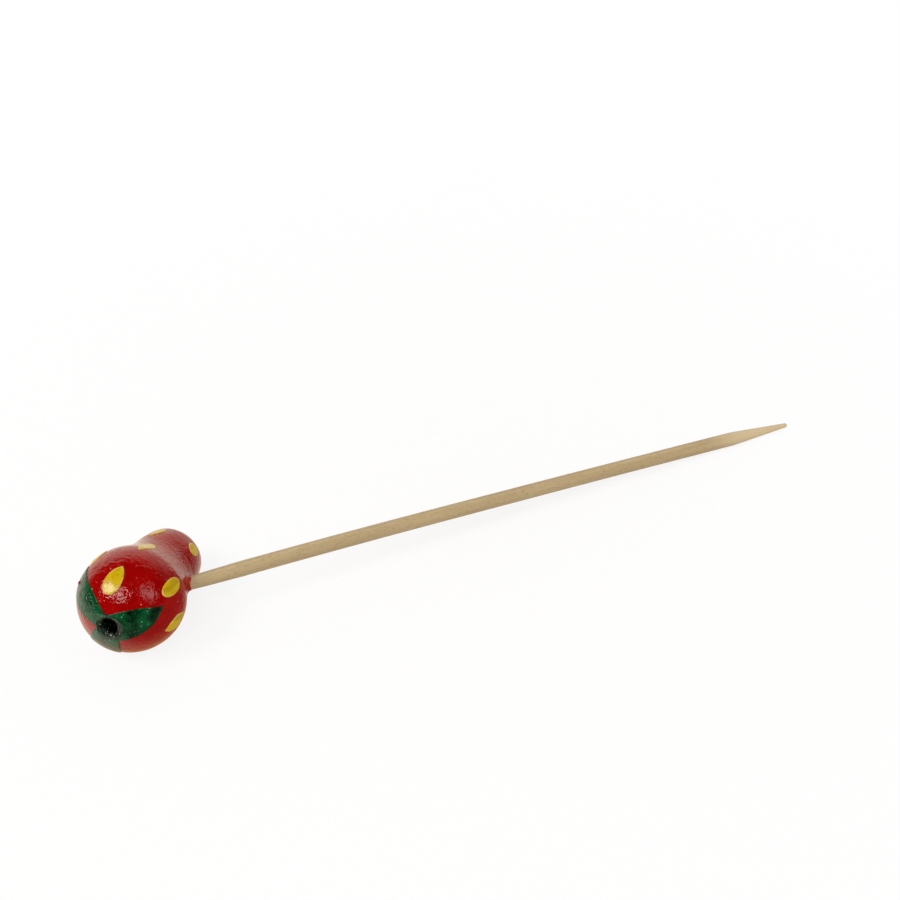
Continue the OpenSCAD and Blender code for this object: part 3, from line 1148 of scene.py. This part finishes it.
# %% Glue collar
COLLAR_POINTS, COLLAR_UNEVEN, COLLAR_WAVES, COLLAR_SEED = 96, 0.35, 1.6, 3
# distance from the stick's middle, rise above the bead and share of the edge's painted highlight
COLLAR_RINGS = [(0.93, 0.60, 1), (0.985, 0.68, 1), (1.01, 0.64, 1), (1.03, 0.55, 0),
                (1.06, 0.40, 0), (1.12, 0.24, 0), (1.23, 0.11, 0), (1.38, 0.04, 0),
                (1.55, 0.01, 0), (1.62, -0.05, 0), (1.12, -0.15, 0)]


def collar_point(angle, radius, rise):
    """A point beside the stick, a little above where the bead's surface is."""
    start = Vector((radius * math.cos(angle), radius * math.sin(angle), SOCKET_END))
    along = seat_in_bead.to_3x3() @ Vector((0, 0, 1))
    return lacquer_below(seat_in_bead @ start, -along) + along * rise


def glue_collar():
    bm = bmesh.new()
    rim_mark = bm.verts.layers.float.new("rim")
    ring = bmesh.ops.create_circle(bm, segments=COLLAR_POINTS, radius=1)["verts"]
    edges = bm.edges[:]
    for number, (radius, rise, rim) in enumerate(COLLAR_RINGS):
        if number:
            ring, edges = drawn_on(bm, edges)
        for i, v in enumerate(ring):
            angle = math.tau * i / COLLAR_POINTS
            way = Vector((math.cos(angle), math.sin(angle), COLLAR_SEED))
            uneven = 1 + COLLAR_UNEVEN * noise.noise(way * COLLAR_WAVES)
            v.co = collar_point(angle, radius, rise * (uneven if rise > 0 else 1))
            v[rim_mark] = rim
    return finish_shell(bm)


collar = make_object(glue_collar(), "glue_collar", [GLUE], bead_frame)
settle(collar, "red_lacquer")

# %% [markdown]
# ## Paper, room and light
#
# The photograph was taken on white paper that rises behind the object, in a
# room that is darker in front, with two soft lamps beside the camera. The
# bead's gloss mirrors all of this: pink rims from the paper, a deep red middle
# from the dark side, and two broken patches from the lamps. To the camera the
# paper's own colour makes the background white, and it keeps the skewer's faint
# shadow. A mix of shaders tells the camera's rays and the gloss's rays apart.

# %% Paper sizes
PAPER_REACH, PAPER_BACK, PAPER_HEIGHT, PAPER_CURVE = 1.6, 0.55, 0.64, 0.2
# near the bead the gloss sees a red painted on the paper, for light bounced from the bead
PAPER_WARM, PAPER_BOUNCED_RED = (1.0, 0.95, 0.80), (0.65, 0.38, 0.16)
SHADOW_REACH, SHADOW_SHARE = 0.20, 0.25
BACK_WAY = math.atan2(-camera_back.y, -camera_back.x)


def glow(tree, colour, strength=1.0):
    """An emission of a colour."""
    emission = add_node(tree, "ShaderNodeEmission", Color=(*colour, 1))
    join(tree, strength, emission.inputs["Strength"])
    return emission.outputs["Emission"]


def mix_shaders(tree, factor, first, second):
    mix = add_node(tree, "ShaderNodeMixShader")
    for socket, value in zip(mix.inputs, (factor, first, second)):
        join(tree, value, socket)
    return mix.outputs["Shader"]


print("straight back is", round(math.degrees(BACK_WAY), 1), "degrees round from X")

# %% [markdown]
# In the gloss the paper is a warm white glow, with its light and shade painted
# in. It is bright on the left, where the light comes from, and dim on the right,
# in the bead's shade. Close to the bead it glows with a painted red, for light
# bounced from the bead. So its brightness is worked out from the direction and
# the distance from the bead's foot.

# %% What the gloss sees of the paper
# from and to in metres from the bead's foot, and the brightness there
FLOOR_LEVEL, WALL_FOOT = (-0.011, 0.003, 0.12, 1.05), (0.0, 0.05)
RIGHT_LEVEL, LEFT_LEVEL = (-1.0, 0.35, 0.12, 1.15), (0.4, 1.2, 1.0, 0.35)
TOP_LEVEL, BY_BEAD_SHARE = (0.40, PAPER_HEIGHT, 1.0, 0.0), (0.002, 0.014, 1.0, 0.0)
TO_LIGHT = (0.5, 0.87, 0)


def mirrored_paper(tree, place):
    """A warm white with levels by direction, and the bounced red close to the bead."""
    # from the bead's foot: X straight back, Y to the left, Z up
    foot = Matrix.Rotation(-BACK_WAY, 3, "Z") @ Vector((BALL_CENTRE.x, BALL_CENTRE.y, 0)) * MM
    by_bead = moved(tree, place, Location=-foot, Rotation=(0, 0, -BACK_WAY))
    _, aside, up = axes_of(tree, by_bead)
    to_light = add_node(tree, "ShaderNodeVectorMath", {"operation": "DOT_PRODUCT"})
    join(tree, by_bead, to_light.inputs[0])
    join(tree, TO_LIGHT, to_light.inputs[1])
    floor_level = spread(tree, to_light.outputs["Value"], *FLOOR_LEVEL)
    wall_level = times(tree, spread(tree, aside, *RIGHT_LEVEL), spread(tree, aside, *LEFT_LEVEL),
                       spread(tree, up, *TOP_LEVEL))
    level = add_node(tree, "ShaderNodeMix", {"data_type": "FLOAT"})
    for socket, value in zip(level.inputs[0:1] + level.inputs[2:4],
                             (spread(tree, up, *WALL_FOOT), floor_level, wall_level)):
        join(tree, value, socket)
    # near the bead the gloss-only glow turns to a painted red bounce
    close = spread(tree, length(tree, by_bead), *BY_BEAD_SHARE)
    return mix_shaders(tree, close, glow(tree, PAPER_WARM, level.outputs[0]),
                       glow(tree, PAPER_BOUNCED_RED))


print("brightness in the gloss: floor", FLOOR_LEVEL[2:], "walls", RIGHT_LEVEL[2:])

# %% [markdown]
# The sheet itself is one long section, drawn with the same pen and compass and
# then pulled sideways: flat under the skewer, a round curve, and a wall behind.

# %% Paper


def paper_material():
    material = bpy.data.materials.new("white paper")
    tree = blank_tree(material)
    output = add_node(tree, "ShaderNodeOutputMaterial")
    matte = add_node(tree, "ShaderNodeBsdfDiffuse", Color=(0.93, 0.93, 0.93, 1))
    rays = add_node(tree, "ShaderNodeLightPath").outputs
    place = add_node(tree, "ShaderNodeTexCoord").outputs["Object"]
    near = texture(tree, "Gradient", moved(tree, place, Scale=(1 / SHADOW_REACH,) * 3),
                   {"gradient_type": "QUADRATIC_SPHERE"})
    white_share = sums(tree, "SUBTRACT", 1.0, times(tree, near.outputs["Fac"], SHADOW_SHARE))
    lit = mix_shaders(tree, times(tree, white_share, rays["Is Camera Ray"]),
                      matte.outputs["BSDF"], glow(tree, (1, 1, 1)))
    bounced = sums(tree, "MAXIMUM", rays["Is Glossy Ray"], rays["Is Transmission Ray"])
    seen = mix_shaders(tree, bounced, lit, mirrored_paper(tree, place))
    join(tree, seen, output.inputs["Surface"])
    return material


def paper_sweep():
    bm = bmesh.new()
    point = bmesh.ops.create_vert(bm, co=(-PAPER_REACH, 0, 0))["vert"][0]
    point = pen(bm, point, PAPER_BACK - PAPER_CURVE, 0, 24)
    point = compass(bm, point, (PAPER_BACK - PAPER_CURVE, PAPER_CURVE), math.pi / 2, 16)
    pen(bm, point, PAPER_BACK, PAPER_HEIGHT, 8)
    far, _ = drawn_on(bm, bm.edges[:])
    bmesh.ops.translate(bm, verts=far, vec=(0, 2 * PAPER_REACH, 0))
    bmesh.ops.translate(bm, verts=bm.verts, vec=(0, -PAPER_REACH, 0))
    for face in bm.faces:
        face.smooth = True
    # turned so that the rising side is straight behind the object
    return make_object(bm, "paper", [paper_material()], Matrix.Rotation(BACK_WAY, 4, "Z"))


paper = paper_sweep()
print("paper laid:", len(paper.data.polygons), "faces")

# %% [markdown]
# The two lamps beside the camera and a fainter one on the right are area lamps,
# aimed at the bead. The room itself lights softly from all round, but in the
# gloss it is almost black.

# %% Lamps and room
# way round from straight back, height in degrees, width and height in metres, radiance
LAMPS = {
    "left softbox": (120, 51, 0.40, 0.30, 9.0),
    "front softbox": (167, 53, 0.32, 0.30, 6.5),
    "right softbox": (-114, 35, 0.30, 0.52, 2.3),
}
LAMP_FAR = 1.0
LAMP_WARM = (1.0, 0.96, 0.88)
ROOM_LIGHT, ROOM_DARK = 0.54, 0.01


def softbox(name, way, height, wide, tall, radiance):
    lamp = bpy.data.lights.new(name, "AREA")
    lamp.shape = "RECTANGLE"
    lamp.size, lamp.size_y = wide, tall
    lamp.color = LAMP_WARM
    lamp.energy = radiance * math.pi * wide * tall
    holder = bpy.data.objects.new(name, lamp)
    scene.collection.objects.link(holder)
    up = math.radians(height)
    aim = Vector((math.cos(up), 0, math.sin(up)))
    aim.rotate(Matrix.Rotation(BACK_WAY + math.radians(way), 3, "Z"))
    holder.location = BALL_CENTRE * MM + aim * LAMP_FAR
    holder.rotation_euler = aim.to_track_quat("Z", "Y").to_euler()


for name, values in LAMPS.items():
    softbox(name, *values)

scene.world = bpy.data.worlds.new("room")
room = blank_tree(scene.world)
room_out = add_node(room, "ShaderNodeOutputWorld")
room_light = add_node(room, "ShaderNodeBackground", Color=(1, 1, 1, 1))
room_rays = add_node(room, "ShaderNodeLightPath").outputs
room_seen = sums(room, "SUBTRACT", ROOM_LIGHT,
                 times(room, room_rays["Is Glossy Ray"], ROOM_LIGHT - ROOM_DARK))
join(room, sums(room, "MAXIMUM", room_seen, room_rays["Is Camera Ray"]),
     room_light.inputs["Strength"])
join(room, room_light.outputs["Background"], room_out.inputs["Surface"])
scene.view_settings.view_transform = "Standard"
print(len(LAMPS), "softboxes and a dim room")
